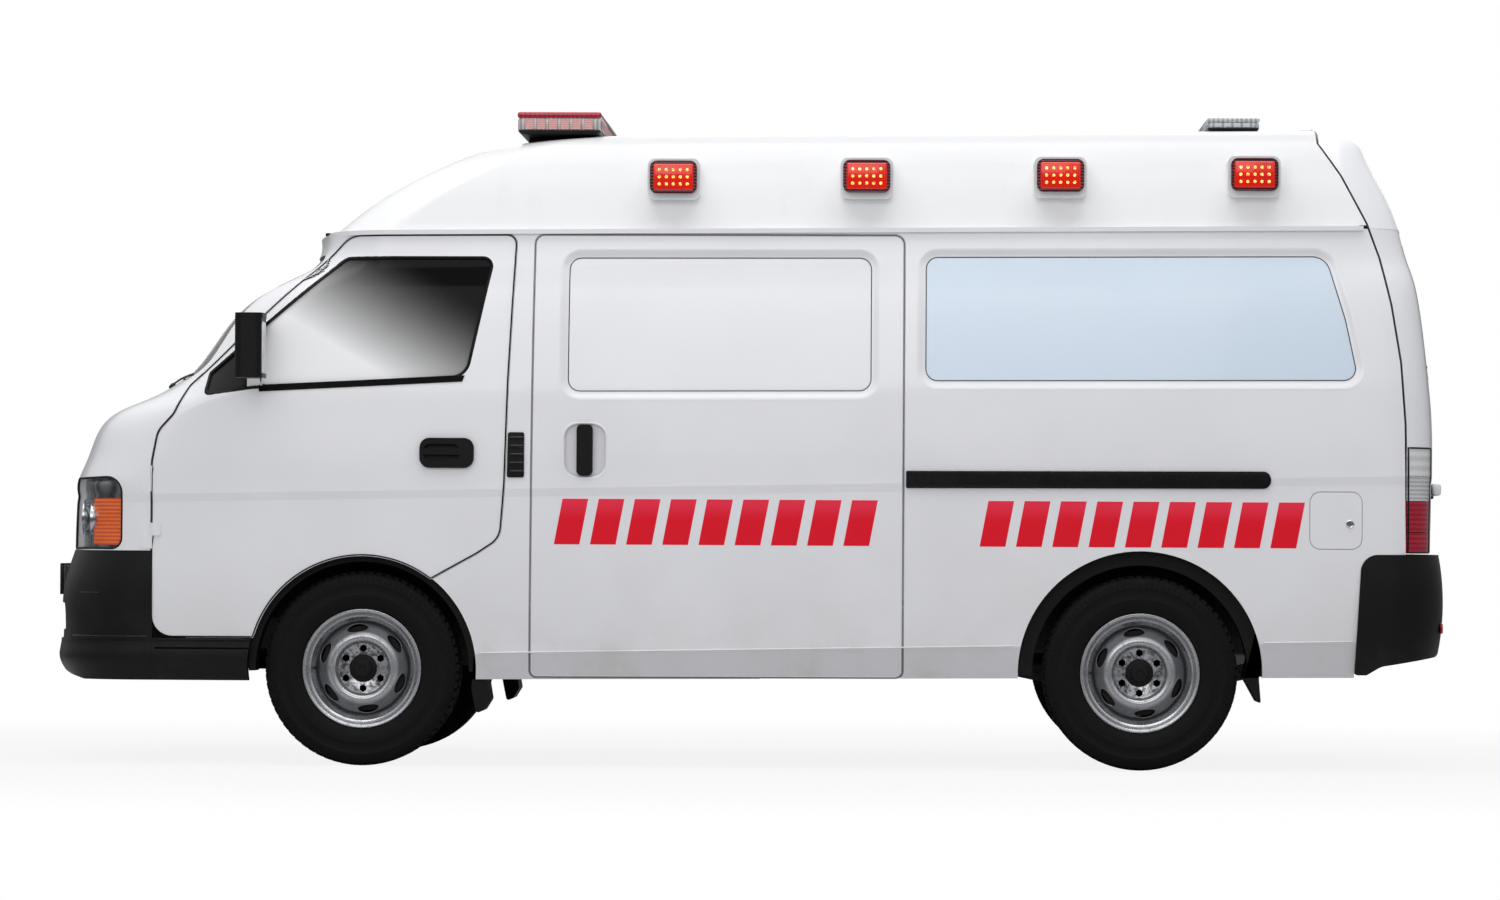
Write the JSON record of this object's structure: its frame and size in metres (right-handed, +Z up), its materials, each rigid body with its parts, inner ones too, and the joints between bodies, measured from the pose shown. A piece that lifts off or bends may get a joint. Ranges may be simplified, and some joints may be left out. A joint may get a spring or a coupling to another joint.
{
  "type": "high-roof van ambulance",
  "caption": "High-roof van ambulance with hinged front doors, lifting tailgate, steered front wheels, sliding side door, roof light bars and side warning lamps.",
  "frame": {"origin": "on the ground under the middle of the overall length and width", "axes": "+X to the rear, -X to the nose, +Z up, -Y the vehicle's left side with the sliding door"},
  "size_m": [4.9902, 2.044, 2.316],
  "materials": {
    "white_paint": "gloss white body paint",
    "roof_paint": "gloss white gel coat",
    "black_plastic": "grained black moulding",
    "clear_glass": "tinted safety glass",
    "frosted_glass": "pale blue frosted film on glass",
    "head_lamp_lens": "clear lens over reflector, amber block",
    "tail_lamp_lens": "red and clear lens",
    "light_bar_lens": "red and clear lens",
    "roof_lamp_lens": "red lens in a white plinth",
    "wheel_steel": "silver wheel paint",
    "tyre": "road tyre",
    "flap_rubber": "black rubber",
    "chassis_paint": "satin black",
    "cast_iron": "rough casting",
    "exhaust_steel": "dull steel",
    "floor_lining": "grey lining",
    "interior_plastic": "grained grey moulding",
    "seat_fabric": "woven cloth"
  },
  "bodies": {
    "body": {"bulkhead": "floor_lining", "chassis_frame": "chassis_paint", "dashboard": "interior_plastic", "door_steps": "black_plastic", "drip_rails": "roof_paint", "drive_shaft": "chassis_paint", "engine_block": "cast_iron", "exhaust": "exhaust_steel", "floor_pan": "floor_lining", "front_bumper": "black_plastic", "front_light_bar": "light_bar_lens", "front_panel": "white_paint", "front_seats": "seat_fabric", "front_suspension": "chassis_paint", "fuel_flap": "white_paint", "fuel_tank": "chassis_paint", "grille": "black_plastic", "headlamps": "head_lamp_lens", "high_roof": "roof_paint", "leaf_springs": "chassis_paint", "left_side_panel": "white_paint", "mudflaps": "flap_rubber", "rear_axle": "chassis_paint", "rear_bumper": "black_plastic", "rear_light_bar": "light_bar_lens", "rear_side_windows": "frosted_glass", "right_side_panel": "white_paint", "roof_lamps": "roof_lamp_lens", "side_bench": "floor_lining", "side_vents": "black_plastic", "slide_rail": "black_plastic", "sliding_door": "white_paint", "sliding_door_handle": "black_plastic", "steering_wheel": "interior_plastic", "tail_lamps": "tail_lamp_lens", "windscreen": "clear_glass"},
    "left_front_door": {"left_front_door": "white_paint", "left_door_glass": "clear_glass", "left_mirror": "black_plastic", "left_door_handle": "black_plastic"},
    "right_front_door": {"right_front_door": "white_paint", "right_door_glass": "clear_glass", "right_mirror": "black_plastic", "right_door_handle": "black_plastic"},
    "tailgate": {"tailgate": "white_paint", "tailgate_glass": "clear_glass"},
    "left_knuckle": {"left_knuckle": "cast_iron"},
    "right_knuckle": {"right_knuckle": "cast_iron"},
    "left_front_wheel": {"left_front_rim": "wheel_steel", "left_front_tyre": "tyre"},
    "right_front_wheel": {"right_front_rim": "wheel_steel", "right_front_tyre": "tyre"},
    "left_rear_wheel": {"left_rear_rim": "wheel_steel", "left_rear_tyre": "tyre"},
    "right_rear_wheel": {"right_rear_rim": "wheel_steel", "right_rear_tyre": "tyre"}
  },
  "joints": [
    {"name": "left_front_door_hinge", "type": "hinge", "parent": "body", "child": "left_front_door", "pos_m": [-2.068, -0.845, 0.9], "axis": [0, 0, -1], "range_deg": [0, 68]},
    {"name": "right_front_door_hinge", "type": "hinge", "parent": "body", "child": "right_front_door", "pos_m": [-2.068, 0.845, 0.9], "axis": [0, 0, 1], "range_deg": [0, 68]},
    {"name": "tailgate_hinge", "type": "hinge", "parent": "body", "child": "tailgate", "pos_m": [2.01, 0, 2.26956], "axis": [0, -1, 0], "range_deg": [0, 88]},
    {"name": "left_steering", "type": "hinge", "parent": "body", "child": "left_knuckle", "pos_m": [-1.33, -0.655, 0.34], "axis": [0, 0, 1], "range_deg": [-32, 32]},
    {"name": "right_steering", "type": "hinge", "parent": "body", "child": "right_knuckle", "pos_m": [-1.33, 0.655, 0.34], "axis": [0, 0, 1], "range_deg": [-32, 32]},
    {"name": "left_front_wheel_spin", "type": "hinge", "parent": "left_knuckle", "child": "left_front_wheel", "pos_m": [-1.33, -0.73, 0.34], "axis": [0, 1, 0], "continuous": true},
    {"name": "left_rear_wheel_spin", "type": "hinge", "parent": "body", "child": "left_rear_wheel", "pos_m": [1.385, -0.73, 0.34], "axis": [0, 1, 0], "continuous": true},
    {"name": "right_front_wheel_spin", "type": "hinge", "parent": "right_knuckle", "child": "right_front_wheel", "pos_m": [-1.33, 0.73, 0.34], "axis": [0, 1, 0], "continuous": true},
    {"name": "right_rear_wheel_spin", "type": "hinge", "parent": "body", "child": "right_rear_wheel", "pos_m": [1.385, 0.73, 0.34], "axis": [0, 1, 0], "continuous": true}
  ],
  "couplings": [
    {"joint": "right_steering", "follows": "left_steering", "ratio": 1}
  ]
}
